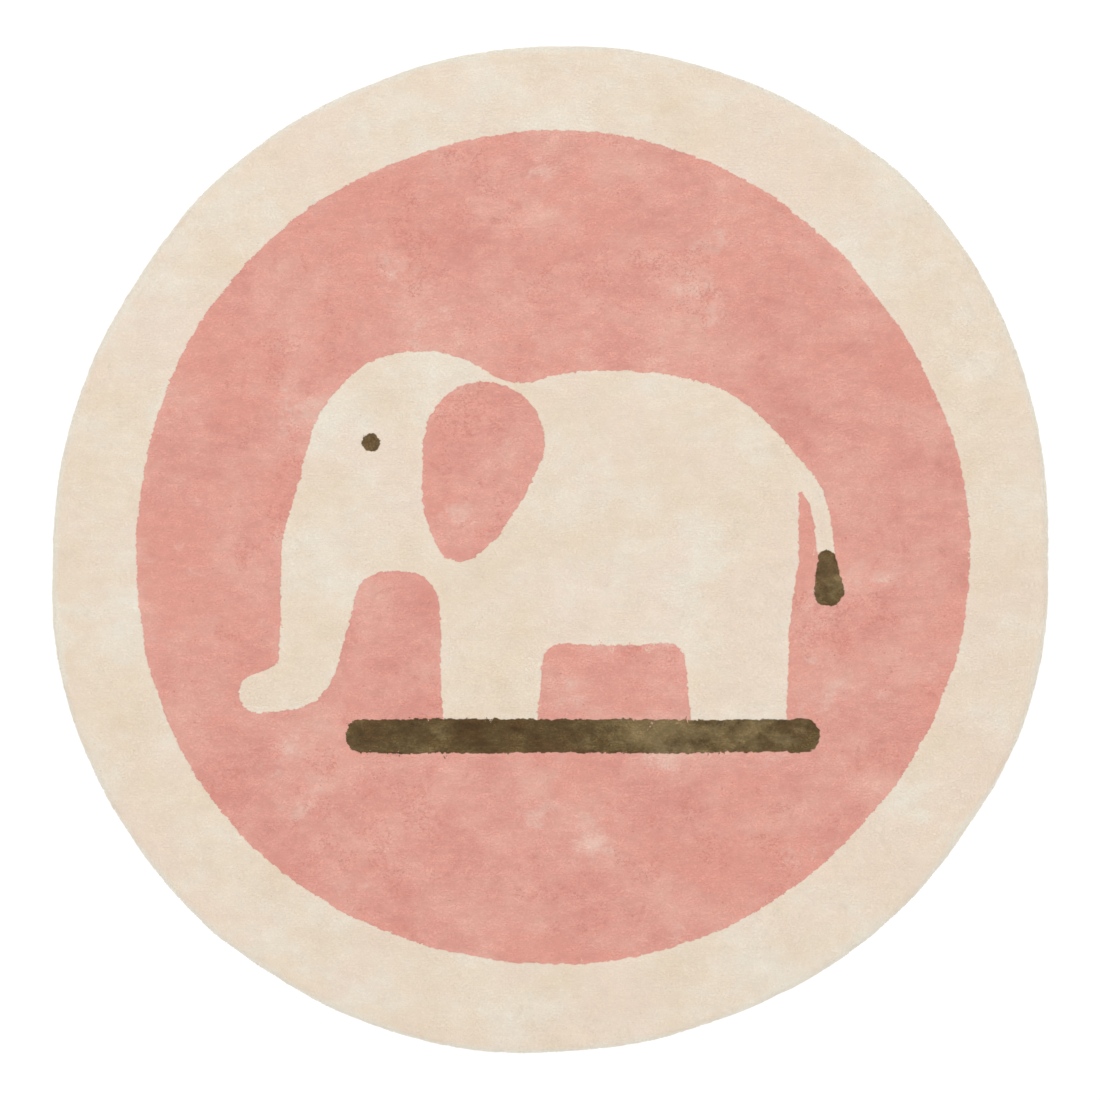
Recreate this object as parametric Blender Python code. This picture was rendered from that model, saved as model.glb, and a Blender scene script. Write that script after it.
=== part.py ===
"""A round tufted rug, lying flat on the floor.

The rug is one piece: wool tufts stand in a canvas whose edge is turned under, so it is one
solid. Its outline is a hand-made circle, a little out of true. Its rim leans out from the
turned edge to the widest tufts and rounds over to a sheared top that is not quite level.

Metres, +Z up. The origin is on the floor, under the middle of the rug's bounding box.
"""

import math
from collections import namedtuple

import bmesh
import bpy
from mathutils import Vector

# Driving dimensions.
DIAMETER = 1.100  # mean across the pile
THICKNESS = 0.014  # canvas, glue and pile

# How far the outline strays from a circle: waves in one turn round the rug, the height of
# their crests, and the direction of one crest in degrees, anticlockwise from +X.
EdgeWave = namedtuple("EdgeWave", "count height crest")
EDGE_WAVES = (
    EdgeWave(count=2, height=0.0065, crest=52),
    EdgeWave(count=3, height=0.0015, crest=-36),
    EdgeWave(count=4, height=0.0020, crest=45),
    EdgeWave(count=5, height=0.0015, crest=-28),
    EdgeWave(count=6, height=0.0007, crest=-28),
    EdgeWave(count=7, height=0.0006, crest=-13),
    EdgeWave(count=8, height=0.0007, crest=-12),
    EdgeWave(count=10, height=0.0006, crest=16),
    EdgeWave(count=12, height=0.0007, crest=14),
    EdgeWave(count=20, height=0.0004, crest=-7),
)

# The rim's section from the floor up: how far each ring lies inside the widest tufts, and
# its height as a share of the thickness.
RimRing = namedtuple("RimRing", "inset share")
RIM_RINGS = (
    RimRing(inset=0.0050, share=0.00),  # fold of the turned canvas, flat on the floor
    RimRing(inset=0.0032, share=0.10),
    RimRing(inset=0.0012, share=0.27),
    RimRing(inset=0.0000, share=0.50),  # widest tufts
    RimRing(inset=0.0010, share=0.72),
    RimRing(inset=0.0036, share=0.88),
    RimRing(inset=0.0085, share=0.97),
    RimRing(inset=0.0180, share=1.00),  # edge of the sheared top
)

# Long, low swells that the shears left in the top: length from crest to crest, height and
# the direction across the swell in degrees.
TopSwell = namedtuple("TopSwell", "length height across")
TOP_SWELLS = (
    TopSwell(length=0.43, height=0.00022, across=20),
    TopSwell(length=0.31, height=0.00018, across=75),
    TopSwell(length=0.24, height=0.00015, across=140),
)
SWELLS_FADE_IN = 0.060  # from the edge of the sheared top inwards

SIDES = 120  # corners round the outline
TOP_RINGS = 8  # rings of the sheared top, evenly spaced to the middle

WOOL_COLOUR = (0.830, 0.730, 0.600, 1.0)  # undyed cream, linear
WOOL_ROUGHNESS = 0.95


def clear_scene():
    for thing in list(bpy.data.objects):
        bpy.data.objects.remove(thing)


def outline_radius(angle):
    """Distance from the middle to the widest tufts, in the direction of the angle."""
    radius = DIAMETER / 2
    for wave in EDGE_WAVES:
        radius += wave.height * math.cos(wave.count * (angle - math.radians(wave.crest)))
    return radius


def outline():
    """Corners of the widest tufts, anticlockwise, with the middle of their box at 0, 0."""
    corners = []
    for side in range(SIDES):
        angle = math.tau * side / SIDES
        corners.append(outline_radius(angle) * Vector((math.cos(angle), math.sin(angle))))
    xs = [corner.x for corner in corners]
    ys = [corner.y for corner in corners]
    middle = Vector((min(xs) + max(xs), min(ys) + max(ys))) / 2
    return [corner - middle for corner in corners]


def inset_ring(corners, inset):
    """The outline moved in towards the middle by the inset."""
    return [corner * (1 - inset / corner.length) for corner in corners]


def top_height(place, depth):
    """Height of the sheared top at a place that lies this deep inside its edge."""
    fade = min(1.0, depth / SWELLS_FADE_IN)
    swell = 0.0
    for wave in TOP_SWELLS:
        across = math.radians(wave.across)
        along = place.x * math.cos(across) + place.y * math.sin(across)
        swell += wave.height * math.sin(math.tau * along / wave.length)
    return THICKNESS + fade * swell


def add_ring(mesh, corners, heights):
    return [mesh.verts.new((c.x, c.y, z)) for c, z in zip(corners, heights)]


def join_rings(mesh, lower, upper):
    """A band of faces between two rings; the upper one is also the inner one on the top."""
    count = len(lower)
    for this in range(count):
        after = (this + 1) % count
        mesh.faces.new((lower[this], lower[after], upper[after], upper[this]))


def rim_rings(mesh, corners):
    rings = []
    for row in RIM_RINGS:
        heights = [row.share * THICKNESS] * SIDES
        rings.append(add_ring(mesh, inset_ring(corners, row.inset), heights))
    return rings


def top_rings(mesh, corners):
    """Rings of the sheared top inside the rim, from the outside in."""
    edge = inset_ring(corners, RIM_RINGS[-1].inset)
    rings = []
    for number in range(1, TOP_RINGS):
        share = 1 - number / TOP_RINGS
        ring = [corner * share for corner in edge]
        depths = [corner.length * (1 - share) for corner in edge]
        heights = [top_height(place, depth) for place, depth in zip(ring, depths)]
        rings.append(add_ring(mesh, ring, heights))
    return rings


def close_top(mesh, ring):
    """A fan of faces from the last ring to the middle."""
    middle = Vector((0.0, 0.0))
    hub = mesh.verts.new((0.0, 0.0, top_height(middle, DIAMETER / 2)))
    for this, vertex in enumerate(ring):
        mesh.faces.new((vertex, ring[(this + 1) % len(ring)], hub))


def wool():
    material = bpy.data.materials.new("wool")
    material.use_nodes = True
    shader = material.node_tree.nodes["Principled BSDF"]
    shader.inputs["Base Color"].default_value = WOOL_COLOUR
    shader.inputs["Roughness"].default_value = WOOL_ROUGHNESS
    shader.inputs["Metallic"].default_value = 0.0
    return material


def make_rug():
    corners = outline()
    mesh = bmesh.new()
    rings = rim_rings(mesh, corners) + top_rings(mesh, corners)
    for lower, upper in zip(rings, rings[1:]):
        join_rings(mesh, lower, upper)
    close_top(mesh, rings[-1])
    mesh.faces.new(reversed(rings[0]))  # the flat underside
    data = bpy.data.meshes.new("rug")
    mesh.to_mesh(data)
    mesh.free()
    data.shade_smooth()
    data.set_sharp_from_angle(angle=math.radians(50))
    data.materials.append(wool())
    rug = bpy.data.objects.new("rug", data)
    bpy.context.scene.collection.objects.link(rug)
    return rug


clear_scene()
make_rug()
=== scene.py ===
"""A round hand-tufted wool rug for a child's room, lying face up on a pale floor.

Three wool yarns stand in a cotton canvas: undyed cream, dusty pink and olive brown. The tufts
are sheared level, so the picture is a flat field of cut ends with a fine, soft grain. The core
is the dense body of the pile with the canvas under it. The locks stand on it, rooted in rows
as the tufting gun leaves them. Each is a bundle of fibres that widens from its root to its
blunt cut end.

Metres, +Z up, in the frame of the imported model. Every place in the picture is measured from
the middle of the rug, seen from above.
"""

import math
from collections import namedtuple

import bpy
import numpy as np
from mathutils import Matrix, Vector


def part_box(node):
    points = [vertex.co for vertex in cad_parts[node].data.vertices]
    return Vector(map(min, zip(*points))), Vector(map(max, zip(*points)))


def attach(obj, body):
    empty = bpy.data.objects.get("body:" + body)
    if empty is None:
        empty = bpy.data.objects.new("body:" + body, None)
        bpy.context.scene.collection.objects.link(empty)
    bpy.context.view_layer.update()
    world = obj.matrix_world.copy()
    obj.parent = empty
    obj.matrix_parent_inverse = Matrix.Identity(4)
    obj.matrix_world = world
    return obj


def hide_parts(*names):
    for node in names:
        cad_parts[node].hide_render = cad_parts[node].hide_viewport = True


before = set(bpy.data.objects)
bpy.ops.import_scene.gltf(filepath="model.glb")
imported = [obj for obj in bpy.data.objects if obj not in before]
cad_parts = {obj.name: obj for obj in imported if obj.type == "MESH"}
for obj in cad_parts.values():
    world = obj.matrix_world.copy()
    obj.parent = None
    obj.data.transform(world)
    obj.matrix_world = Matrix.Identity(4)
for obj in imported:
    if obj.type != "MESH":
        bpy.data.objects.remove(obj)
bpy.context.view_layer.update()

# The rug's body. The section of the rim runs from the edge of the sheared top, round the
# widest tufts, to the fold of the canvas on the floor.
LOW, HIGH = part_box("rug")
SWELL = 0.0005  # how far the sheared top strays from level
LONG_SWELL = 0.30  # from one of its long swells to the next
SHORT_SWELL = 0.11  # from one of the shorter swells in them to the next
SWELL_FADE = 0.06  # from the edge of the sheared top in to where it swells fully
TOP = HIGH.z - SWELL
WIDEST = TOP / 2  # height of the widest tufts
ROUNDING = 0.018  # from the widest tufts in to the edge of the sheared top
ROUNDNESS = 3.7  # power of the curve between them
TURN_UNDER = 0.005  # from the widest tufts in to the fold of the canvas
FLANK_CURVE = 1.8  # power of the curve down to that fold
REACH = 0.60  # half the square that holds the rug

# The pile. Its rows run from left to right.
CUT_ENDS = 0.0008  # how far the locks stand above the core
ROOTED = 0.0005  # how deep they start inside it
STITCH = 0.00224  # from lock to lock along a row
ROW = 0.00209  # from row to row
UNEVEN = 0.35  # how far a lock strays from its place, as a share of the stitch
LOCK_WIDTH = 0.0020  # from a lock's axis to its corners, along the row
LOCK_DEPTH = 0.0014  # and across it
TURN_SPREAD = 0.5  # how far locks are turned from their row, in radians
LENGTH_SPREAD = 0.12  # how much longer or shorter single locks are
FIBRE_LEAN = 0.22  # how much single locks lean each their own way, as a share of upright
PATCH_LEAN = 0.18  # how much whole patches lean one way
LEAN_PATCH = 0.085  # from one such patch to the next
LEAN_SPOT = 0.028  # from one of the spots in it that lean more, or less, to the next
FLANK_RISE = 0.7  # how much the locks of the flank turn up, as a share of straight out

# The core's mesh.
CORE_RINGS = 96  # from the middle to the widest tufts
RIM_RINGS = 8  # how many of them lie on the rounded rim
FLANK_RINGS = 5  # from the widest tufts down to the floor
SNAP = 0.55  # how near a border a corner is moved onto it, in sides of a square of the grid
RUFFLE = 0.0002  # how far the core's top strays from the sheared top
RUFFLE_LENGTH = 0.011  # from one ruffle to the next
SHARP = math.radians(60)  # steeper edges show as edges, such as the fold of the canvas

# Where two colours meet, the tufter's line wanders and each tuft steps in or out a little. The
# rug's own edge does the same. The stitches are packed at a border to draw the line, and the
# shears clip a shallow groove.
HAND_WANDER = 0.0013  # how far the line wanders
HAND_LENGTH = 0.034  # from one bend of it to the next
TUFT_STEP = 0.0012  # how far a tuft steps out of the line
TUFT_LENGTH = 0.0033  # from one step to the next
EDGE_WANDER = 0.0006  # how far the rug's edge wanders
EDGE_STEP = 0.0004  # how far a tuft steps out of the edge
EDGE_STEP_LENGTH = 0.006  # from one step to the next
PACKED = 0.0022  # how far from a border the stitches are packed
PACKED_TRIES = 2  # how many more are tried there for each stitch in a row
PACKED_WIDTH = 0.65  # how wide a lock is right at the border, as a share of the others
PACKED_LEAN = 0.4  # how much it leans there, as a share of the others
GROOVE = 0.0030  # width of the groove
GROOVE_DEPTH = 0.35  # how much shorter the locks are in it; as short locks they also take painted shade

# At the rim, where the pile rounds over, its wool is painted a little darker and greyer: painted
# shade and a painted sheen.
RIM_PAINT_WIDTH = 0.010  # how far in from the widest tufts the painted shade and sheen reach
RIM_PAINTED_SHADE = 0.12  # how much darker the painted shade is at the widest tufts

# The yarns and the canvas, by their places in the core's list of materials.
CREAM, PINK, BROWN, CANVAS = range(4)

LONG_SHARE = 0.6  # of long patches, where a soft noise mixes them with short ones
FEEL = 0.0004  # the step over which the slope of a distance is felt
TINY = 1e-9  # keeps a division away from zero


# --------------------------------------------------------------------------- small helpers


def add(tree, kind, settings=(), links=()):
    """A node of this kind with its settings, and its inputs linked from other sockets."""
    node = tree.nodes.new(kind)
    for name, value in dict(settings).items():
        if isinstance(name, int) or name in node.inputs:
            node.inputs[name].default_value = value
        else:
            setattr(node, name, value)
    for name, source in dict(links).items():
        tree.links.new(source, node.inputs[name])
    return node


def colour(code):
    """Linear colour of an sRGB hex code."""
    shares = [int(code[place : place + 2], 16) / 255 for place in (1, 3, 5)]
    linear = [c / 12.92 if c <= 0.04045 else ((c + 0.055) / 1.055) ** 2.4 for c in shares]
    return (*linear, 1.0)


def drift(x, y, length, seed):
    """Soft noise from -1 to 1 over the rug, whose patches are about this long."""
    cells = math.ceil(2 * REACH / length) + 3
    heights = np.random.default_rng(seed).uniform(-1, 1, (cells, cells))
    across, up = (x + REACH) / length, (y + REACH) / length
    column, row = across.astype(int), up.astype(int)
    across, up = across - column, up - row
    across, up = across * across * (3 - 2 * across), up * up * (3 - 2 * up)
    near = heights[row, column] * (1 - across) + heights[row, column + 1] * across
    far = heights[row + 1, column] * (1 - across) + heights[row + 1, column + 1] * across
    return near * (1 - up) + far * up


def mixed_drift(x, y, long, short, seed):
    """Soft noise of long patches, with short ones in them."""
    patches, spots = drift(x, y, long, seed), drift(x, y, short, seed + 1)
    return LONG_SHARE * patches + (1 - LONG_SHARE) * spots


# --------------------------------------------------------------------------- the picture

# A plain elephant in cream on a pink disc, with a pink ear, a brown eye and tuft, and a brown
# strip of ground. Its shapes are blobs, which are ellipses with squarer or rounder corners,
# and limbs, which are chains of rounds.
Blob = namedtuple("Blob", "x y wide tall power")
Round = namedtuple("Round", "x y reach")

DISC = 0.455
DISC_WAVES = ((3, 0.0025, 1.0), (5, 0.0020, 0.0))  # their count, height and turn in radians
BODY = Blob(x=0.070, y=0.045, wide=0.200, tall=0.150, power=2.3)
HEAD = Blob(x=-0.142, y=0.097, wide=0.116, tall=0.120, power=2.1)
TRUNK = (
    Round(x=-0.190, y=0.080, reach=0.075),
    Round(x=-0.243, y=0.000, reach=0.050),
    Round(x=-0.258, y=-0.080, reach=0.036),
    Round(x=-0.272, y=-0.140, reach=0.029),
    Round(x=-0.318, y=-0.157, reach=0.022),
)
FORE_LEG = (Round(x=-0.062, y=-0.025, reach=0.060), Round(x=-0.066, y=-0.195, reach=0.051))
HIND_LEG = (Round(x=0.202, y=-0.025, reach=0.062), Round(x=0.206, y=-0.195, reach=0.051))
FEET = -0.185  # the height of the soles
TAIL = (
    Round(x=0.245, y=0.110, reach=0.012),
    Round(x=0.288, y=0.060, reach=0.010),
    Round(x=0.302, y=-0.010, reach=0.009),
)
TUFT = (Round(x=0.302, y=-0.010, reach=0.010), Round(x=0.304, y=-0.045, reach=0.017))
EAR = (
    Round(x=-0.072, y=0.117, reach=0.066),
    Round(x=-0.088, y=0.060, reach=0.052),
    Round(x=-0.098, y=0.017, reach=0.030),
)
EYE = Blob(x=-0.196, y=0.117, wide=0.010, tall=0.010, power=2.0)
GROUND = (Round(x=-0.205, y=-0.2035, reach=0.0185), Round(x=0.275, y=-0.2035, reach=0.0185))
LIMB_STEPS = 6  # straight runs between two rounds of a limb
HEAD_FILLET = 0.035  # where the head and the trunk run into the body
LEG_FILLET = 0.030
TAIL_FILLET = 0.008


def blob(x, y, shape):
    """Distance to a blob's edge, negative inside it. True near the edge."""
    across, up = abs(x - shape.x) / shape.wide, abs(y - shape.y) / shape.tall
    size = (across**shape.power + up**shape.power) ** (1 / shape.power)
    return (size - 1) * min(shape.wide, shape.tall)


def between(before, start, end, after, share):
    """A value on the smooth curve from start to end."""
    slope = end - before
    bend = 2 * before - 5 * start + 4 * end - after
    twist = 3 * start - before - 3 * end + after
    return 0.5 * (2 * start + slope * share + bend * share**2 + twist * share**3)


def limb(x, y, rounds):
    """Distance to the edge of a smooth limb through the rounds, negative inside it."""
    ends = [rounds[0], *rounds, rounds[-1]]
    path = []
    for start in range(len(rounds) - 1):
        for step in range(LIMB_STEPS):
            four = zip(*ends[start : start + 4])
            path.append([between(*values, step / LIMB_STEPS) for values in four])
    path.append(list(rounds[-1]))
    nearest = np.full(np.shape(x), np.inf)
    for (ax, ay, a_reach), (bx, by, b_reach) in zip(path, path[1:]):
        wide, tall = bx - ax, by - ay
        along = ((x - ax) * wide + (y - ay) * tall) / (wide * wide + tall * tall)
        along = np.clip(along, 0, 1)
        gap = np.hypot(x - ax - along * wide, y - ay - along * tall)
        nearest = np.minimum(nearest, gap - a_reach - along * (b_reach - a_reach))
    return nearest


def join(one, other, fillet):
    """Two shapes run together, with a fillet of about this size where they meet."""
    share = np.clip(0.5 + 0.5 * (other - one) / fillet, 0, 1)
    return other + (one - other) * share - fillet * share * (1 - share)


def elephant(x, y):
    shape = join(blob(x, y, BODY), blob(x, y, HEAD), HEAD_FILLET)
    shape = join(shape, limb(x, y, TRUNK), HEAD_FILLET)
    for leg in (FORE_LEG, HIND_LEG):
        shape = join(shape, limb(x, y, leg), LEG_FILLET)
    shape = np.maximum(shape, FEET - y)
    return join(shape, limb(x, y, TAIL), TAIL_FILLET)


def disc(x, y):
    radius = DISC
    for count, height, turn in DISC_WAVES:
        radius = radius + height * np.cos(count * np.arctan2(y, x) + turn)
    return np.hypot(x, y) - radius


def yarns(x, y):
    """The yarn at each place, and how far that place is from the nearest border."""
    hand = [HAND_WANDER * drift(x, y, HAND_LENGTH, seed) for seed in (21, 22)]
    tuft = [TUFT_STEP * drift(x, y, TUFT_LENGTH, seed) for seed in (23, 24)]
    x, y = x + hand[0] + tuft[0], y + hand[1] + tuft[1]
    brown = np.minimum.reduce([limb(x, y, TUFT), limb(x, y, GROUND), blob(x, y, EYE)])
    layers = (
        (disc(x, y), PINK), (elephant(x, y), CREAM), (limb(x, y, EAR), PINK), (brown, BROWN),
    )
    yarn = np.full(np.shape(x), CREAM)
    border = np.full(np.shape(x), np.inf)
    for gap, filling in layers:
        covered = gap < 0
        border = np.where(covered, -gap, np.minimum(border, gap))
        yarn = np.where(covered, filling, yarn)
    return yarn, border


# --------------------------------------------------------------------------- the rug's shape


def outline_of(node):
    """Directions of the rug's outline corners and their distances from the middle."""
    corners = np.array([vertex.co[:2] for vertex in node.data.vertices])
    corners = corners[np.hypot(*corners.T) > DISC]
    # Rounded, the corners of all the rim's rings that lie one way share their direction.
    directions = np.arctan2(corners[:, 1], corners[:, 0]).round(3)
    reach = np.hypot(*corners.T)
    known = np.unique(directions)
    return known, np.array([reach[directions == one].max() for one in known])


DIRECTIONS, DISTANCES = outline_of(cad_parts["rug"])


def outline(angle):
    """Distance from the middle to the widest tufts, which stand out a little unevenly."""
    distance = np.interp(angle, DIRECTIONS, DISTANCES, period=math.tau)
    x, y = distance * np.cos(angle), distance * np.sin(angle)
    wander = EDGE_WANDER * drift(x, y, HAND_LENGTH, 25)
    step = EDGE_STEP * drift(x, y, EDGE_STEP_LENGTH, 26)
    return distance + wander + step


def rim_nearness(x, y):
    """How near the widest tufts each place is, from 0 to 1 at them: the share of the rim's painted
    shade and painted sheen.
    """
    inset = outline(np.arctan2(y, x)) - np.hypot(x, y)
    return np.clip(1 - inset / RIM_PAINT_WIDTH, 0, 1)


def section(turn, sunk=0.0):
    """Inset from the widest tufts and height of the rim's surface, this far under the cut
    ends. Turn 0 is the edge of the sheared top, 1 the widest tufts and 2 the fold."""
    out = np.sin(np.clip(turn, 0, 1) * math.pi / 2)
    down = np.clip(turn - 1, 0, 1)
    inset = sunk * (1 - down) + ROUNDING * (1 - out) + TURN_UNDER * down**FLANK_CURVE
    rise = np.sqrt(1 - out**ROUNDNESS)
    height = np.where(turn <= 1, WIDEST + (TOP - sunk - WIDEST) * rise, WIDEST * (1 - down))
    return inset, height


# The rim unrolled: how far along its section each turn lies from the edge of the top.
SECTION_POINTS = 401
TURNS = np.linspace(0, 2, SECTION_POINTS)
INSETS, HEIGHTS = section(TURNS)
STEPS = np.hypot(np.diff(INSETS), np.diff(HEIGHTS))
ALONG = np.concatenate([[0], np.cumsum(STEPS)])


def sheared_top(x, y, depth):
    """Height of the top, this deep inside its edge. The shears left it not quite level."""
    fade = np.clip(depth / SWELL_FADE, 0, 1)
    return TOP + fade * SWELL * mixed_drift(x, y, LONG_SWELL, SHORT_SWELL, 31)


def spread(angle, distance):
    """Places on the unrolled rug, at this distance from its middle along the surface."""
    return np.stack([np.cos(angle) * distance, np.sin(angle) * distance], -1)


# --------------------------------------------------------------------------- materials

# Hand-tufted wool: the cut ends of carded, dyed wool yarn. Matt and a little dusty, with a
# faint sheen of loose fibres towards the edges. The dye takes a little deeper in some patches
# than in others, and some skeins have another cast. Here and there the pile is stroked up, and
# its paler colour there is a painted sheen. All along the rim, a painted sheen and painted shade
# stand for the pile rounding over. Where the pile parts, and on short locks, a deeper colour is
# painted: painted shade among the locks. Wool's index is 1.55, and a sheared pile is very rough.
# The contrast is how steeply the dye runs from deep to light, the mottle how much the locks
# differ in lightness, and the root how much darker a lock is painted at its root than at its
# cut end: painted shade at the foot of the pile.
WoolYarn = namedtuple(
    "WoolYarn", "name deep middle light cast brushed parted contrast mottle root"
)
WOOLS = (
    WoolYarn(
        name="undyed cream wool", deep="#E8D7C1", middle="#EADDCB", light="#ECE5D9",
        cast="#EBDACA", brushed="#EBE4D6", parted="#E2D3BF",
        contrast=2.6, mottle=0.08, root=0.05,
    ),
    WoolYarn(
        name="dusty pink wool", deep="#DA998C", middle="#E2A89A", light="#E7B8A8",
        cast="#E2A293", brushed="#E8C6B8", parted="#D08273",
        contrast=2.8, mottle=0.20, root=0.08,
    ),
    WoolYarn(
        name="olive brown wool", deep="#563E1F", middle="#64502E", light="#8A7650",
        cast="#5E4527", brushed="#887554", parted="#46321C",
        contrast=4.2, mottle=1.00, root=0.25,
    ),
)
WOOL_IOR = 1.55
WOOL_ROUGHNESS = 0.95

# How another colour comes over the dye: what its noise or attribute measures where it starts
# and where it is strongest, and how much of the dye it then hides.
Veil = namedtuple("Veil", "start strongest most")
CAST_VEIL = Veil(start=0.48, strongest=0.62, most=0.70)
# Painted sheen where the pile is stroked up, and at the rim:
BRUSHED_SHEEN_VEIL = Veil(start=0.57, strongest=0.72, most=0.90)
# Painted shade where the pile parts and on short locks:
PARTING_SHADE_VEIL = Veil(start=0.0, strongest=1.0, most=0.55)
PATCH = 0.075  # from one deeper patch of dye to the next
SKEIN = 0.130  # from one skein's cast to the next
BRUSHED_SHEEN = 0.085  # from one place that might be stroked up, and painted with sheen, to the next
RIM_PAINTED_SHEEN = 0.35  # what the rim adds to the painted sheen's noise, so that it is painted paler there too
ALONG_ROWS = 1.3  # how much longer these are along the rows than across them
FIBRE = 0.0006  # spacing of the fibres' grain; real ones are 0.03 mm, too fine to show


def wool(yarn):
    material = bpy.data.materials.new(yarn.name)
    material.use_nodes = True
    tree = material.node_tree
    shader = tree.nodes["Principled BSDF"]
    place = add(tree, "ShaderNodeTexCoord").outputs["Object"]
    settings = {"operation": "MULTIPLY", 1: (1 / ALONG_ROWS, 1, 1)}
    place = add(tree, "ShaderNodeVectorMath", settings, {0: place}).outputs[0]
    noises = []
    for length, detail in ((PATCH, 6), (SKEIN, 4), (BRUSHED_SHEEN, 5), (FIBRE, 2)):
        settings = {"Scale": 1 / length, "Detail": detail, "Roughness": 0.7}
        node = add(tree, "ShaderNodeTexNoise", settings, {"Vector": place})
        noises.append(node.outputs["Fac"])
    patch, skein, brushed, fibre = noises
    rim_sheen_and_shade, parted, lift, shade = [
        add(tree, "ShaderNodeAttribute", {"attribute_name": name}).outputs["Fac"]
        for name in ("rim_sheen_and_shade", "parted", "lift", "shade")
    ]
    settings = {"operation": "MULTIPLY_ADD", 1: RIM_PAINTED_SHEEN}
    brushed = add(tree, "ShaderNodeMath", settings, {0: rim_sheen_and_shade, 2: brushed}).outputs[0]

    # The dye, then the skeins' cast, the painted sheen where the pile is stroked up and the
    # painted shade where it parts.
    half = 0.5 / yarn.contrast
    dye = add(tree, "ShaderNodeValToRGB", (), {"Fac": patch})
    stops = dye.color_ramp.elements
    stops[0].position, stops[0].color = 0.5 - half, colour(yarn.deep)
    stops[1].position, stops[1].color = 0.5 + half, colour(yarn.light)
    stops.new(0.5).color = colour(yarn.middle)
    pile = dye.outputs["Color"]
    for source, veil, over in (
        (skein, CAST_VEIL, yarn.cast),
        (brushed, BRUSHED_SHEEN_VEIL, yarn.brushed),
        (parted, PARTING_SHADE_VEIL, yarn.parted),
    ):
        settings = {
            "interpolation_type": "SMOOTHSTEP", "From Min": veil.start,
            "From Max": veil.strongest, "To Max": veil.most,
        }
        share = add(tree, "ShaderNodeMapRange", settings, {"Value": source}).outputs[0]
        settings = {"data_type": "RGBA", 7: colour(over)}
        pile = add(tree, "ShaderNodeMix", settings, {0: share, 6: pile}).outputs[2]

    # Painted shade at a lock's root, and its own lightness, which holds painted shade too.
    settings = {"operation": "MULTIPLY_ADD", 1: yarn.root, 2: 1 - yarn.root}
    lit = add(tree, "ShaderNodeMath", settings, {0: lift}).outputs[0]
    links = {0: lit, 1: shade}
    lit = add(tree, "ShaderNodeMath", {"operation": "MULTIPLY"}, links).outputs[0]
    links = {0: pile, "Scale": lit}
    shaded = add(tree, "ShaderNodeVectorMath", {"operation": "SCALE"}, links)

    settings = {"Strength": 0.1, "Distance": FIBRE / 2}
    bump = add(tree, "ShaderNodeBump", settings, {"Height": fibre})
    for name, value in {
        "Roughness": WOOL_ROUGHNESS, "IOR": WOOL_IOR, "Specular IOR Level": 0.25,
        "Sheen Weight": 0.40, "Sheen Roughness": 0.5, "Sheen Tint": (1, 1, 1, 1),
    }.items():
        shader.inputs[name].default_value = value
    tree.links.new(shaded.outputs[0], shader.inputs["Base Color"])
    tree.links.new(bump.outputs["Normal"], shader.inputs["Normal"])
    return material


# Unbleached cotton canvas, plain woven: the back of the rug, seen only when it is lifted. The
# threads show as a fine check of soft ridges.
CANVAS_THREAD = 0.0016  # from thread to thread
BAND_LENGTH = 0.314  # from band to band of a wave texture whose scale is 1


def canvas():
    material = bpy.data.materials.new("unbleached cotton canvas")
    material.use_nodes = True
    tree = material.node_tree
    shader = tree.nodes["Principled BSDF"]
    place = add(tree, "ShaderNodeTexCoord").outputs["Object"]
    threads = []
    for direction in ("X", "Y"):
        settings = {
            "wave_type": "BANDS", "bands_direction": direction,
            "Scale": BAND_LENGTH / CANVAS_THREAD, "Distortion": 0.6, "Detail": 1.0,
        }
        wave = add(tree, "ShaderNodeTexWave", settings, {"Vector": place})
        threads.append(wave.outputs["Fac"])
    settings = {"operation": "MAXIMUM"}
    weave = add(tree, "ShaderNodeMath", settings, {0: threads[0], 1: threads[1]})
    ramp = add(tree, "ShaderNodeValToRGB", (), {"Fac": weave.outputs[0]})
    ramp.color_ramp.elements[0].color = colour("#B9AA90")
    ramp.color_ramp.elements[1].color = colour("#DDD0B8")
    settings = {"Strength": 0.6, "Distance": CANVAS_THREAD / 4}
    bump = add(tree, "ShaderNodeBump", settings, {"Height": weave.outputs[0]})
    shader.inputs["Roughness"].default_value = 0.9
    tree.links.new(ramp.outputs["Color"], shader.inputs["Base Color"])
    tree.links.new(bump.outputs["Normal"], shader.inputs["Normal"])
    return material


# --------------------------------------------------------------------------- the core


def disc_grid():
    """A square grid laid on a disc: each square round the middle becomes a ring. Gives the
    ring and the direction of every corner."""
    side = np.arange(-CORE_RINGS, CORE_RINGS + 1)
    column, row = np.meshgrid(side, side)
    wide = abs(column) >= abs(row)
    far, near = np.where(wide, column, row), np.where(wide, row, column)
    turn = math.pi / 4 * near / np.where(far == 0, 1, far)
    angle = np.where(wide, turn, math.pi / 2 - turn) + np.where(far < 0, math.pi, 0)
    return abs(far).ravel(), angle.ravel()


def to_border(x, y):
    """The step from each corner to the nearest border, if that is close, and otherwise none."""
    _, border = yarns(x, y)
    near = border < SNAP * REACH / CORE_RINGS
    aside = ((FEEL, 0), (0, FEEL))
    slopes = [(yarns(x + side, y + up)[1] - border) / FEEL for side, up in aside]
    steep = np.hypot(*slopes) + TINY
    return [np.where(near, -border * slope / steep**2, 0) for slope in slopes]


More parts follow.
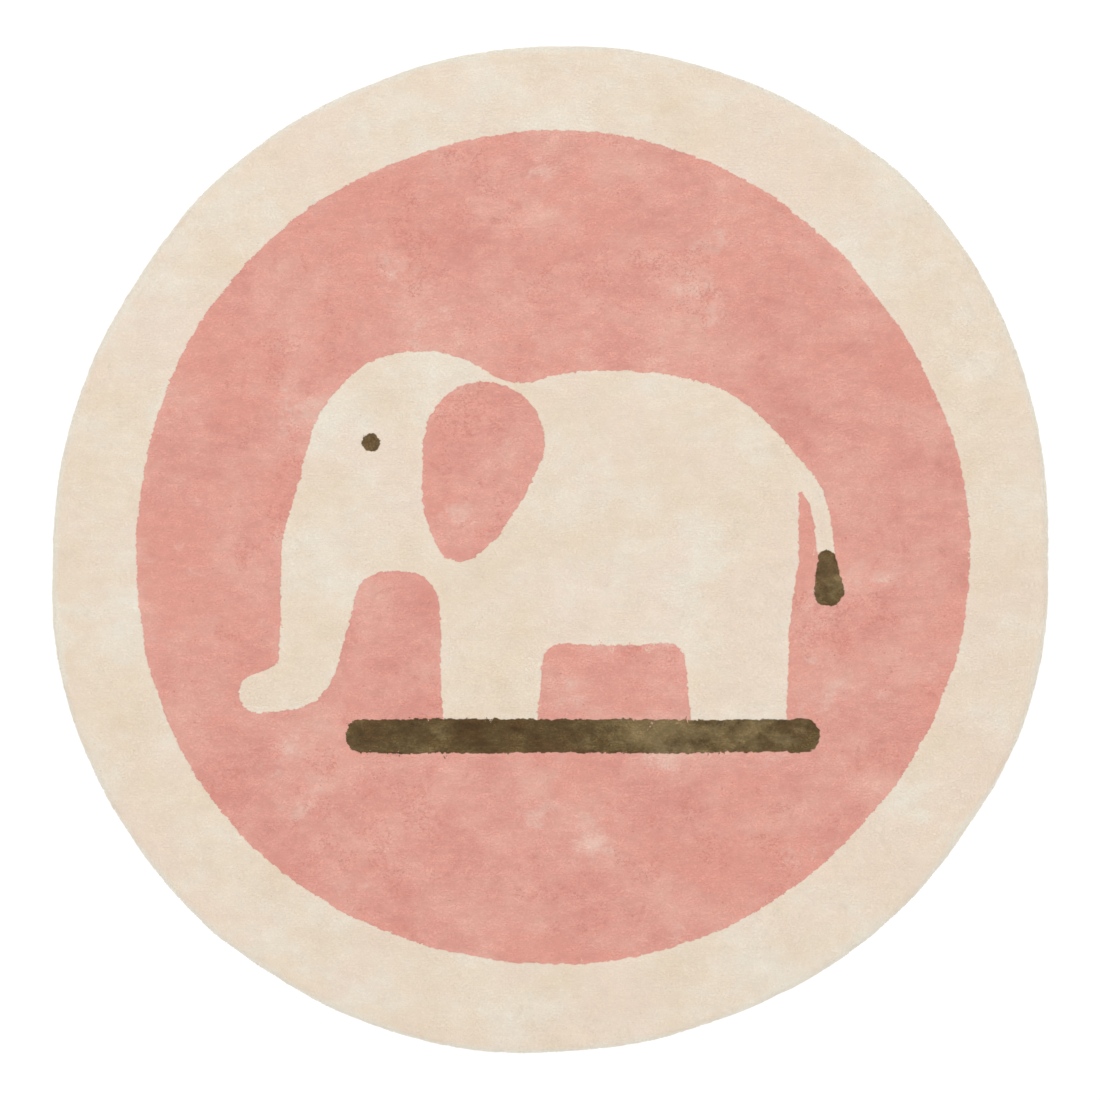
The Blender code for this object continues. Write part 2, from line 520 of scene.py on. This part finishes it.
def core_corners():
    """Corners of the core: the grid of its top and rounded rim, then the flank's rings. Gives
    their places, and their places on the unrolled rug."""
    ring, angle = disc_grid()
    side = 2 * CORE_RINGS + 1
    index = np.arange(side * side).reshape(side, side)
    edge = np.concatenate([index[0, :-1], index[:-1, -1], index[-1, :0:-1], index[:0:-1, 0]])
    level = CORE_RINGS - RIM_RINGS
    turn = np.clip((ring - level) / RIM_RINGS, 0, 1)
    flank = np.repeat(1 + np.arange(1, FLANK_RINGS + 1) / FLANK_RINGS, len(edge))
    angle = np.concatenate([angle, np.tile(angle[edge], FLANK_RINGS)])
    turn = np.concatenate([turn, flank])
    inner = np.minimum(np.concatenate([ring, np.full(len(flank), level)]) / level, 1)
    inset, height = section(turn, CUT_ENDS)
    limit = outline(angle) - ROUNDING - CUT_ENDS
    distance = np.where(inner < 1, limit * inner, outline(angle) - inset)
    x, y = np.cos(angle) * distance, np.sin(angle) * distance
    step_x, step_y = to_border(x, y)
    x, y = x + step_x, y + step_y
    ruffle = RUFFLE * drift(x, y, RUFFLE_LENGTH, 33)
    soft = sheared_top(x, y, limit - distance) - TOP + ruffle
    height = height + np.where(turn < 1, (1 - turn) * soft, 0)
    unrolled = spread(angle, limit * inner + np.interp(turn, TURNS, ALONG))
    unrolled += np.stack([step_x, step_y], -1)
    loops = [edge] + [
        side * side + step * len(edge) + np.arange(len(edge)) for step in range(FLANK_RINGS)
    ]
    return np.stack([x, y, height], -1), unrolled, index, loops


def core_faces(corners, index, loops):
    """Triangles of the top, each in one yarn, then squares of the flank and the underside."""
    _, border = yarns(corners[:, 0], corners[:, 1])
    top = np.stack([index[:-1, :-1], index[:-1, 1:], index[1:, 1:], index[1:, :-1]], -1)
    top = top.reshape(-1, 4)
    gaps = border[top]
    along_border = gaps[:, 0] + gaps[:, 2] < gaps[:, 1] + gaps[:, 3]
    top = np.where(along_border[:, None], top, np.roll(top, -1, 1))
    faces = np.concatenate([top[:, [0, 1, 2]], top[:, [0, 2, 3]]]).tolist()
    for upper, lower in zip(loops, loops[1:]):
        after, below = np.roll(upper, -1), np.roll(lower, -1)
        faces += np.stack([upper, lower, below, after], -1).tolist()
    return faces + [loops[-1][::-1].tolist()]


UNDERSIDE_SIZE = 0.16  # the underside's size on the map, where it fits beside the round top
MAP_MARGIN = 0.005  # from the map's edge to the underside
MAP_SPAN = 1.15  # the unrolled rug, from edge to edge
CORE_LIFT = 0.8  # painted shade of the core between the locks: how light it is, from 0 as dark as at a root to 1 as at an end
CORE_SHADES = (0.96, 1.0)  # how light its darkest and its lightest places are


def make_core(materials):
    corners, unrolled, index, loops = core_corners()
    faces = core_faces(corners, index, loops)
    mesh = bpy.data.meshes.new("core")
    mesh.from_pydata(corners.tolist(), [], faces)
    for material in materials:
        mesh.materials.append(material)
    middles = np.array([corners[face].mean(0) for face in faces])
    yarn, _ = yarns(middles[:, 0], middles[:, 1])
    yarn[-1] = CANVAS
    mesh.polygons.foreach_set("material_index", yarn.astype(np.int32))
    places = unrolled / MAP_SPAN + 0.5
    flat = corners[:, :2] * UNDERSIDE_SIZE / MAP_SPAN + MAP_MARGIN + UNDERSIDE_SIZE / 2
    corner_of = np.concatenate([np.array(face) for face in faces])
    coords = places[corner_of]
    coords[-len(faces[-1]) :] = flat[faces[-1]]
    bake_map = mesh.uv_layers.new(name="OFBake")
    bake_map.data.foreach_set("uv", coords.ravel())
    numbers = np.random.default_rng(5)
    # The rim's painted shade and painted sheen, as on the locks.
    rim_sheen_and_shade = rim_nearness(corners[:, 0], corners[:, 1])
    for name, values in {
        "shade": numbers.uniform(*CORE_SHADES, len(corners)) - RIM_PAINTED_SHADE * rim_sheen_and_shade**2,
        "lift": np.full(len(corners), CORE_LIFT),
        "rim_sheen_and_shade": rim_sheen_and_shade,
    }.items():
        mesh.attributes.new(name, "FLOAT", "POINT").data.foreach_set("value", values)
    mesh.shade_smooth()
    mesh.set_sharp_from_angle(angle=SHARP)
    core = bpy.data.objects.new("pile_core", mesh)
    bpy.context.scene.collection.objects.link(core)
    return core


# --------------------------------------------------------------------------- the pile's roots

# What every lock's root is given: its place, the way its lock stands, its place on the
# unrolled rug, its yarn and how far it is from the nearest border.
Roots = namedtuple("Roots", "place stand turn unrolled yarn border")

FEEL_TURN = 0.02  # the step over which the rim's slope is felt, in turns of its section


def lean(x, y, border, seed):
    """How far the pile leans at each place: whole patches one way, and every lock its own.
    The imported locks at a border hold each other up."""
    numbers = np.random.default_rng(seed)
    patch = mixed_drift(x, y, LEAN_PATCH, LEAN_SPOT, seed)
    free = np.interp(border, (0, 2 * PACKED), (PACKED_LEAN, 1))
    return free * (PATCH_LEAN * patch + FIBRE_LEAN * numbers.uniform(-1, 1, x.shape))


def rooted(x, y):
    """Roots of the sheared top at these places, without those that lie outside it."""
    angle, distance = np.arctan2(y, x), np.hypot(x, y)
    depth = outline(angle) - ROUNDING - CUT_ENDS - distance
    kept = depth > 0
    x, y, angle, distance, depth = [part[kept] for part in (x, y, angle, distance, depth)]
    yarn, border = yarns(x, y)
    height = sheared_top(x, y, depth) - CUT_ENDS - ROOTED
    stand = np.stack([lean(x, y, border, 41), lean(x, y, border, 43), np.ones_like(x)], -1)
    numbers = np.random.default_rng(42)
    turn = math.pi * numbers.integers(0, 2, x.shape)
    turn = turn + TURN_SPREAD * numbers.uniform(-1, 1, x.shape)
    place, unrolled = np.stack([x, y, height], -1), spread(angle, distance)
    return Roots(place, stand, turn, unrolled, yarn, border)


def top_roots():
    """Roots in rows a little out of step."""
    x, y = np.meshgrid(np.arange(-REACH, REACH, STITCH), np.arange(-REACH, REACH, ROW))
    x[1::2] += STITCH / 2
    numbers = np.random.default_rng(7)
    x, y = [axis + STITCH * UNEVEN * numbers.uniform(-1, 1, axis.shape) for axis in (x, y)]
    return rooted(x.ravel(), y.ravel())


def packed_roots(roots):
    """More roots between those of the top that lie close to a border."""
    near = roots.border < 2 * PACKED
    tries = PACKED_TRIES * near.sum()
    numbers = np.random.default_rng(9)
    x, y = [
        np.tile(roots.place[near, axis], PACKED_TRIES) + numbers.uniform(-STITCH, STITCH, tries)
        for axis in (0, 1)
    ]
    more = rooted(x, y)
    kept = more.border < PACKED
    return Roots(*[values[kept] for values in more])


def rim_roots():
    """Roots of the rounded rim and the flank, in rings that follow the outline."""
    numbers = np.random.default_rng(8)
    girth, length = math.tau * DISTANCES.mean(), ALONG[-1]
    angle, along = np.meshgrid(
        np.linspace(-math.pi, math.pi, int(girth / STITCH), endpoint=False),
        np.arange(ROW / 2, length - ROW, ROW),
    )
    stray = UNEVEN * numbers.uniform(-1, 1, (2, *angle.shape))
    angle = (angle + stray[0] * math.tau * STITCH / girth).ravel()
    along = (along + stray[1] * ROW).ravel()
    turn = np.interp(along, ALONG, TURNS)
    inset, height = section(turn, CUT_ENDS + ROOTED)
    ahead, behind = section(turn + FEEL_TURN), section(turn - FEEL_TURN)
    out, up = behind[1] - ahead[1], behind[0] - ahead[0]
    size = np.hypot(out, up)
    out, up = out / size, up / size
    distance = outline(angle) - inset
    x, y = np.cos(angle) * distance, np.sin(angle) * distance
    yarn, border = yarns(x, y)
    stand = np.stack([
        out * np.cos(angle) + lean(x, y, border, 45),
        out * np.sin(angle) + lean(x, y, border, 47),
        up + FLANK_RISE * out,
    ], -1)
    turn = numbers.uniform(0, math.tau, x.shape)
    place = np.stack([x, y, height], -1)
    unrolled = spread(angle, outline(angle) - ROUNDING - CUT_ENDS + along)
    return Roots(place, stand, turn, unrolled, yarn, border)


def all_roots():
    top = top_roots()
    kinds = (top, packed_roots(top), rim_roots())
    return Roots(*[np.concatenate(values) for values in zip(*kinds)])


# --------------------------------------------------------------------------- the pile's locks

# Creases, where the pile has parted along a short bent line. They lie about along the rows or
# straight across them.
CREASES = 60  # how many there are
CREASE_WIDTH = 0.0022  # from the middle of one to where it starts to rise
CREASE_LENGTHS = (0.006, 0.026)  # of the shortest and the longest
CREASE_TURN = 0.6  # how far they are turned from those ways, in radians
CREASE_BEND = 12.0  # of the most bent one: how far it leaves its tangent, over length squared
CREASE_END = 1.5  # how far out it has risen to the others, where 1 is where it starts to rise
CREASE_DEPTH = 0.6  # how much shorter the locks of the deepest one are
CREASE_SHALLOW = 0.3  # depth of the shallowest one, as a share of the deepest

# Pits, where single locks are cut short.
PITS = 0.004  # share of the locks that stand in one
PIT_DEPTH = 0.6  # how much shorter they are

# Open patches, where locks are cut unevenly and the pile parts along wavy lines.
OPEN = 0.075  # from one patch to the next
OPEN_RAGGED = OPEN / 4  # from one bay of its ragged edge to the next
OPEN_START = 0.4  # where the patches start, on the noise's scale
OPEN_CONTRAST = 2.0  # how steeply they open from there
OPEN_DEPTH = 0.6  # how much shorter the shortest locks are there
PARTING = 0.0070  # from one wavy line to the next
PARTING_STRETCH = 1.8  # how much longer they are along the rows than across them
PARTING_WAVER = 0.4  # how much they waver
PARTING_WIDTH = 0.35  # of the lines, on the noise's scale
PARTING_DEPTH = 0.2  # how much shorter the locks are on the lines

# The flank's locks are shorter, and grow to the others' length between these heights.
FLANK_TRIM = 0.6  # how long they are, as a share of the others
FLANK_BAND = (0.6 * WIDEST, 1.5 * WIDEST)

# How light the locks are. Runs of them along the rows are alike, and so are those of a tuft.
Run = namedtuple("Run", "width stretch share seed")
RUNS = (
    Run(width=0.0034, stretch=3, share=1.0, seed=53),
    Run(width=0.0060, stretch=5, share=0.6, seed=59),
)
TUFT_SPACING = 0.0050  # from one tuft to the next
RUN_MOTTLE = 0.20  # what the runs take of a wool's mottle
TUFT_MOTTLE = 0.16  # what the tufts take of it
OWN_MOTTLE = 0.14  # what the single locks take of it
SHORT_SHADE = 0.12  # how dark the others make a short lock
SHORT_PARTING_SHADE = 1.3  # how much of the painted shade of partings a lock takes, over the share that it is shorter
SHORTEST = 0.3  # of the locks, as a share of the others

SOFTNESS = 0.15  # how far the shading of a lock's cut end turns outwards at its corners
MAP_WIDTH = 0.0009  # from a lock's middle to its corners on its map
ABOVE_FLOOR = 0.0002


def creases(x, y):
    """How deep in a crease each place lies, from 0 to 1."""
    numbers = np.random.default_rng(51)
    deep = np.zeros_like(x)
    for _ in range(CREASES):
        distance, side = HIGH.x * math.sqrt(numbers.uniform()), numbers.uniform(0, math.tau)
        away_x, away_y = x - distance * math.cos(side), y - distance * math.sin(side)
        turn = numbers.uniform(-CREASE_TURN, CREASE_TURN)
        turn = turn + numbers.integers(0, 2) * math.pi / 2
        along = away_x * math.cos(turn) + away_y * math.sin(turn)
        across = away_y * math.cos(turn) - away_x * math.sin(turn)
        across = across - numbers.uniform(-1, 1) * CREASE_BEND * along**2
        half = numbers.uniform(*CREASE_LENGTHS) / 2
        out = np.hypot(across / CREASE_WIDTH, along / half)
        sunk = np.clip((CREASE_END - out) / (CREASE_END - 1), 0, 1)
        deep = np.maximum(deep, sunk * numbers.uniform(CREASE_SHALLOW, 1))
    return deep


def opened(x, y):
    """How open the pile stands at each place, from 0 to 1."""
    height = drift(x, y, OPEN, 57) + drift(x, y, OPEN_RAGGED, 58)
    return np.clip(OPEN_CONTRAST * (height - OPEN_START), 0, 1)


def partings(x, y):
    """How near each place of an open patch lies to a line where the pile parts, from 0 to 1 on it.
    """
    wave = drift(x / PARTING_STRETCH, y, PARTING, 61)
    wave = wave + PARTING_WAVER * drift(x, y, PARTING / 3, 62)
    return opened(x, y) * np.clip(1 - abs(wave) / PARTING_WIDTH, 0, 1)


def trims(roots):
    """How long each lock is cut, as a share of the longest."""
    x, y = roots.place[:, 0], roots.place[:, 1]
    groove = np.clip(1 - roots.border / GROOVE, 0, 1)
    chance = np.random.default_rng(56).uniform(0, 1, x.shape)
    pit = chance < PITS
    ruffled = OPEN_DEPTH * opened(x, y) * chance**2 + PARTING_DEPTH * partings(x, y)
    cut = CREASE_DEPTH * creases(x, y) + PIT_DEPTH * pit + ruffled
    rim = np.interp(roots.place[:, 2], FLANK_BAND, (FLANK_TRIM, 1))
    return rim * np.maximum(1 - GROOVE_DEPTH * groove - cut * (1 - groove), SHORTEST)


def shades(roots, trim):
    """How light each lock is, as a share of its wool: by its run, its tuft and its own wool.
    Shorter locks get painted shade from their neighbours, and the rim gets painted shade where the
    pile rounds over."""
    x, y = roots.place[:, 0], roots.place[:, 1]
    runs = sum(run.share * drift(x / run.stretch, y, run.width, run.seed) for run in RUNS)
    tufts = drift(x, y, TUFT_SPACING, 54)
    own = np.random.default_rng(55).uniform(-1, 1, x.shape)
    mottle = np.array([yarn.mottle for yarn in WOOLS])[roots.yarn]
    mottle = mottle * (RUN_MOTTLE * runs + TUFT_MOTTLE * tufts + OWN_MOTTLE * own)
    return 1 + mottle - SHORT_SHADE * (1 - trim) - RIM_PAINTED_SHADE * rim_nearness(x, y) ** 2


def lock_shape():
    """A lock of fibres: a root, three sides and the cut end, shaded as softly as wool. The
    end comes last in the mesh."""
    turns = (0, math.tau / 3, 2 * math.tau / 3)
    end = [(math.cos(turn), math.sin(turn), 1) for turn in turns]
    mesh = bpy.data.meshes.new("lock")
    mesh.from_pydata([*end, (0, 0, 0)], [], [(0, 3, 1), (1, 3, 2), (2, 3, 0), (0, 1, 2)])
    mesh.shade_smooth()
    directions = []
    for turn in turns:
        facing = turn + math.tau / 6
        directions += [Vector((math.cos(facing), math.sin(facing), 0))] * 3
    directions += [Vector((SOFTNESS * x, SOFTNESS * y, 1)) for x, y, _ in end]
    mesh.normals_split_custom_set([direction.normalized() for direction in directions])
    places = np.array([vertex.co for vertex in mesh.vertices])
    mesh.attributes.new("form", "FLOAT_VECTOR", "POINT").data.foreach_set("vector", places.ravel())
    mesh.attributes.new("lift", "FLOAT", "POINT").data.foreach_set("value", places[:, 2])
    lock = bpy.data.objects.new("lock", mesh)
    bpy.context.scene.collection.objects.link(lock)
    return lock


def pile_tree():
    """Geometry nodes that stand a lock on every root."""
    tree = bpy.data.node_groups.new("sheared pile", "GeometryNodeTree")
    for name, kind in {
        "Roots": "NodeSocketGeometry", "Lock": "NodeSocketObject", "Width": "NodeSocketFloat",
        "Depth": "NodeSocketFloat", "Length": "NodeSocketFloat",
        "Length spread": "NodeSocketFloat", "Width on map": "NodeSocketFloat",
        "Seed": "NodeSocketInt", "Wool": "NodeSocketMaterial",
    }.items():
        tree.interface.new_socket(name, in_out="INPUT", socket_type=kind)
    tree.interface.new_socket("Pile", in_out="OUTPUT", socket_type="NodeSocketGeometry")
    given = add(tree, "NodeGroupInput").outputs

    # What the roots and the lock carry.
    carried = {}
    for name, kind in {
        "stand": "FLOAT_VECTOR", "turn": "FLOAT", "girth": "FLOAT", "trim": "FLOAT",
        "map": "FLOAT_VECTOR", "form": "FLOAT_VECTOR",
    }.items():
        settings = {"data_type": kind, "Name": name}
        node = add(tree, "GeometryNodeInputNamedAttribute", settings)
        carried[name] = node.outputs["Attribute"]

    # Every lock's size: its share of the pile's, from its root, and its own length.
    settings = {"data_type": "FLOAT", 2: -1.0, 3: 1.0}
    own = add(tree, "FunctionNodeRandomValue", settings, {"Seed": given["Seed"]}).outputs[1]
    settings = {"operation": "MULTIPLY_ADD", 2: 1.0}
    links = {0: own, 1: given["Length spread"]}
    longer = add(tree, "ShaderNodeMath", settings, links).outputs[0]
    size = {"X": given["Width"], "Y": given["Depth"], "Z": given["Length"]}
    scale = add(tree, "ShaderNodeCombineXYZ", (), size).outputs[0]
    for share in (
        {"X": carried["girth"], "Y": carried["girth"], "Z": carried["trim"]},
        {"Z": longer},
    ):
        factor = add(tree, "ShaderNodeCombineXYZ", {"X": 1.0, "Y": 1.0}, share).outputs[0]
        links = {0: scale, 1: factor}
        scale = add(tree, "ShaderNodeVectorMath", {"operation": "MULTIPLY"}, links).outputs[0]

    links = {"Vector": carried["stand"]}
    upright = add(tree, "FunctionNodeAlignRotationToVector", {"axis": "Z"}, links).outputs[0]
    links = {"Angle": carried["turn"]}
    spin = add(tree, "FunctionNodeAxisAngleToRotation", {"Axis": (0, 0, 1)}, links).outputs[0]
    links = {"Rotation": upright, "Rotate By": spin}
    turned = add(tree, "FunctionNodeRotateRotation", {"rotation_space": "LOCAL"}, links).outputs[0]

    lock = add(tree, "GeometryNodeObjectInfo", (), {"Object": given["Lock"]})
    links = {
        "Points": given["Roots"], "Instance": lock.outputs["Geometry"],
        "Rotation": turned, "Scale": scale,
    }
    pile = add(tree, "GeometryNodeInstanceOnPoints", (), links).outputs[0]
    pile = add(tree, "GeometryNodeRealizeInstances", (), {"Geometry": pile}).outputs[0]

    # On the map every lock is a small triangle at its root, split by the lock's edges.
    links = {0: carried["form"], 1: given["Width on map"], 2: carried["map"]}
    flat = add(tree, "ShaderNodeVectorMath", {"operation": "MULTIPLY_ADD"}, links).outputs[0]
    settings = {"data_type": "FLOAT2", "domain": "CORNER", "Name": "OFBake"}
    links = {"Geometry": pile, "Value": flat}
    pile = add(tree, "GeometryNodeStoreNamedAttribute", settings, links).outputs[0]
    links = {"Geometry": pile, "Material": given["Wool"]}
    pile = add(tree, "GeometryNodeSetMaterial", (), links).outputs[0]
    add(tree, "NodeGroupOutput", (), {"Pile": pile})
    return tree


def stand_locks(name, roots, wool_of_it, tree, lock, seed):
    """One piece of the pile: a lock on each of these roots."""
    # The piece's map has a margin of two locks' widths.
    low, high = roots.unrolled.min(0), roots.unrolled.max(0)
    span = (high - low).max() + 4 * LOCK_WIDTH
    on_map = (roots.unrolled - low + 2 * LOCK_WIDTH) / span
    x, y = roots.place[:, 0], roots.place[:, 1]
    trim = trims(roots)
    mesh = bpy.data.meshes.new(name)
    mesh.from_pydata(roots.place.tolist(), [], [])
    for label, kind, field, values in (
        ("stand", "FLOAT_VECTOR", "vector", roots.stand),
        ("turn", "FLOAT", "value", roots.turn),
        ("map", "FLOAT_VECTOR", "vector", np.pad(on_map, ((0, 0), (0, 1)))),
        ("girth", "FLOAT", "value", np.interp(roots.border, (0, PACKED), (PACKED_WIDTH, 1))),
        ("trim", "FLOAT", "value", trim),
        ("shade", "FLOAT", "value", shades(roots, trim)),
        # The rim's share of painted sheen and painted shade.
        ("rim_sheen_and_shade", "FLOAT", "value", rim_nearness(x, y)),
        # Painted shade: locks on a parting line, and short locks, take the deeper shade colour.
        ("parted", "FLOAT", "value", np.maximum(partings(x, y), SHORT_PARTING_SHADE * (1 - trim))),
    ):
        mesh.attributes.new(label, kind, "POINT").data.foreach_set(field, values.ravel())
    planted = bpy.data.objects.new(name + "_roots", mesh)
    bpy.context.scene.collection.objects.link(planted)
    modifier = planted.modifiers.new("pile", "NODES")
    modifier.node_group = tree
    inputs = {
        "Lock": lock, "Width": LOCK_WIDTH, "Depth": LOCK_DEPTH, "Length": CUT_ENDS + ROOTED,
        "Length spread": LENGTH_SPREAD, "Width on map": MAP_WIDTH / span, "Seed": seed,
        "Wool": wool_of_it,
    }
    for item in tree.interface.items_tree:
        if item.in_out == "INPUT" and item.name in inputs:
            modifier[item.identifier] = inputs[item.name]
    graph = bpy.context.evaluated_depsgraph_get()
    pile = bpy.data.meshes.new_from_object(planted.evaluated_get(graph))
    bpy.data.objects.remove(planted)
    pile.materials.pop(index=0)  # the lock's own empty slot
    for label in ("form", "map", "stand", "turn", "girth", "trim"):
        pile.attributes.remove(pile.attributes[label])
    places = np.empty((len(pile.vertices), 3), np.float32)
    pile.vertices.foreach_get("co", places.ravel())
    places[:, 2] = np.maximum(places[:, 2], ABOVE_FLOOR)
    pile.vertices.foreach_set("co", places.ravel())
    piece = bpy.data.objects.new(name, pile)
    bpy.context.scene.collection.objects.link(piece)
    return piece


# Where the pile is cut into its pieces: cream locks this far out are the ring's, and the pink
# disc is cut at two heights of the picture.
RING_START = DISC - 0.02
PINK_TOP = 0.2
PINK_BOTTOM = -0.15


def make_pile(wools):
    roots = all_roots()
    x, y = roots.place[:, 0], roots.place[:, 1]
    ring = np.hypot(x, y) > RING_START
    cream, pink = roots.yarn == CREAM, roots.yarn == PINK
    fields = (
        ("pile_cream_left", cream & ring & (x < 0), CREAM),
        ("pile_cream_right", cream & ring & (x >= 0), CREAM),
        ("pile_cream_elephant", cream & ~ring, CREAM),
        ("pile_pink_top", pink & (y > PINK_TOP), PINK),
        ("pile_pink_middle", pink & (y <= PINK_TOP) & (y > PINK_BOTTOM), PINK),
        ("pile_pink_bottom", pink & (y <= PINK_BOTTOM), PINK),
        ("pile_brown", roots.yarn == BROWN, BROWN),
    )
    tree, lock = pile_tree(), lock_shape()
    pieces = []
    for seed, (name, chosen, yarn) in enumerate(fields):
        part = Roots(*[values[chosen] for values in roots])
        pieces.append(stand_locks(name, part, wools[yarn], tree, lock, seed))
    bpy.data.objects.remove(lock)
    return pieces


# --------------------------------------------------------------------------- floor, light, view


FLOOR_HALF = 30.0
FLOOR_UNDER = 0.0003  # how far the floor lies below the rug
FLOOR_GLOW = 0.84  # its own light, which the light that falls on it brings up to plain white


def make_floor():
    """An opal acrylic sheet lit from below, on which things lie without a shadow."""
    mesh = bpy.data.meshes.new("floor")
    ends = (-FLOOR_HALF, FLOOR_HALF)
    corners = [(x, y, -FLOOR_UNDER) for x in ends for y in ends]
    mesh.from_pydata(corners, [], [(0, 2, 3, 1)])
    material = bpy.data.materials.new("lit opal acrylic")
    material.use_nodes = True
    shader = material.node_tree.nodes["Principled BSDF"]
    shader.inputs["Base Color"].default_value = colour("#7E7E7E")
    shader.inputs["Roughness"].default_value = 0.9
    shader.inputs["Emission Color"].default_value = (1, 1, 1, 1)
    shader.inputs["Emission Strength"].default_value = FLOOR_GLOW
    mesh.materials.append(material)
    floor = bpy.data.objects.new("floor", mesh)
    bpy.context.scene.collection.objects.link(floor)


SKY_STRENGTH = 1.04  # of the white sky, which gives nearly all the light
KEY_POWER = 15.0  # watts
KEY_PLACE = Vector((-0.4, 2.0, 2.8))
KEY_SIZE = 2.0


def make_light():
    world = bpy.data.worlds.new("soft studio")
    world.use_nodes = True
    sky = world.node_tree.nodes["Background"]
    sky.inputs["Color"].default_value = (1, 1, 1, 1)
    sky.inputs["Strength"].default_value = SKY_STRENGTH
    bpy.context.scene.world = world
    lamp = bpy.data.lights.new("key", "AREA")
    lamp.energy, lamp.size = KEY_POWER, KEY_SIZE
    key = bpy.data.objects.new("key", lamp)
    key.location = KEY_PLACE
    key.rotation_euler = (-KEY_PLACE).to_track_quat("-Z", "Y").to_euler()
    bpy.context.scene.collection.objects.link(key)


# The photograph is 1100 pixels square, and the rug is 1007 of them tall. Its middle lies half
# a pixel right of the frame's middle and half a pixel above it.
PHOTO_PIXELS = 1100
RUG_PIXELS = 1007
OFF_MIDDLE = (0.5, 0.5)
LENS = 100.0  # millimetres, as is the sensor
SENSOR = 36.0


def make_camera():
    pixel = (HIGH.y - LOW.y) / RUG_PIXELS
    data = bpy.data.cameras.new("camera")
    data.lens, data.sensor_width = LENS, SENSOR
    camera = bpy.data.objects.new("camera", data)
    distance = pixel * PHOTO_PIXELS * LENS / SENSOR
    camera.location = (-OFF_MIDDLE[0] * pixel, -OFF_MIDDLE[1] * pixel, WIDEST + distance)
    bpy.context.scene.collection.objects.link(camera)
    bpy.context.scene.camera = camera


# --------------------------------------------------------------------------- the whole


def main():
    make_camera()
    make_light()
    make_floor()
    wools = [wool(yarn) for yarn in WOOLS]
    core = make_core([*wools, canvas()])
    pile = make_pile(wools)
    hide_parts("rug")
    for piece in (core, *pile):
        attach(piece, "root")
    bpy.context.scene.view_settings.view_transform = "Standard"


main()
